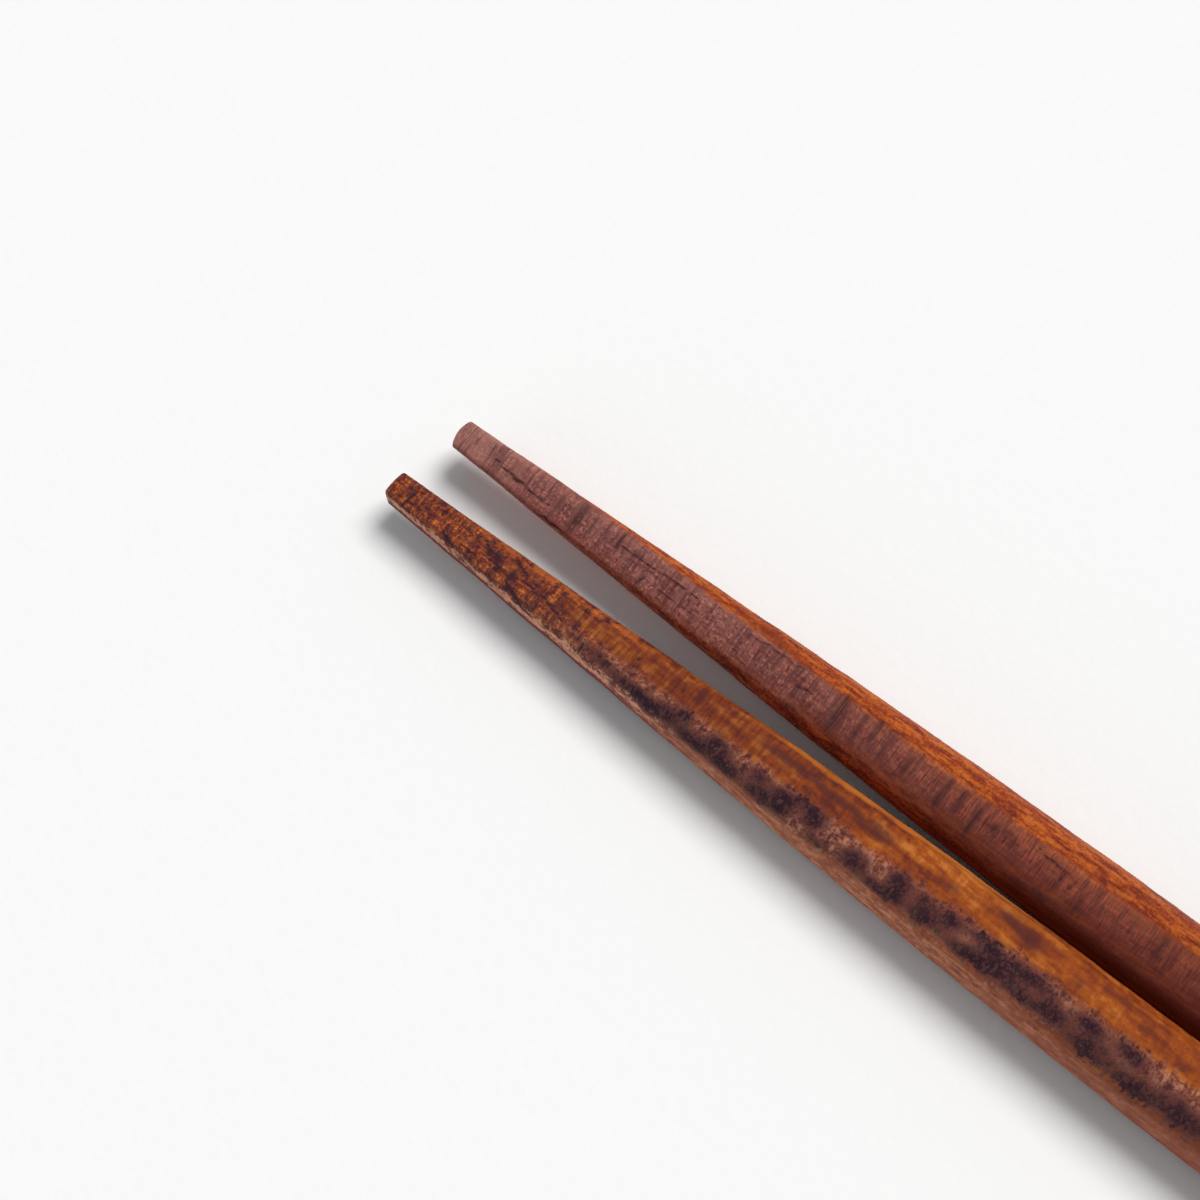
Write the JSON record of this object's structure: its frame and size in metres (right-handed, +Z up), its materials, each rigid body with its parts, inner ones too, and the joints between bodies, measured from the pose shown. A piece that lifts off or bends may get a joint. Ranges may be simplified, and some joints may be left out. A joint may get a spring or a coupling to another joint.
{
  "type": "pair of chopsticks",
  "caption": "Slender tapered wooden eating sticks lying side by side, with narrow square tips and softly rounded grips, for picking up food.",
  "frame": {"origin": "middle of the pair's footprint, on the surface that the sticks lie on", "axes": "+X along the sticks from tips to grips, +Y from the near stick to the far one, +Z up"},
  "size_m": [0.231, 0.0166, 0.0085],
  "materials": {
    "near_wood": "amber brown wood under a thin satin clear coat",
    "far_wood": "red brown wood with dark checks under a thin satin clear coat"
  },
  "bodies": {
    "root": {"near_chopstick": "near_wood", "far_chopstick": "far_wood"}
  },
  "joints": []
}
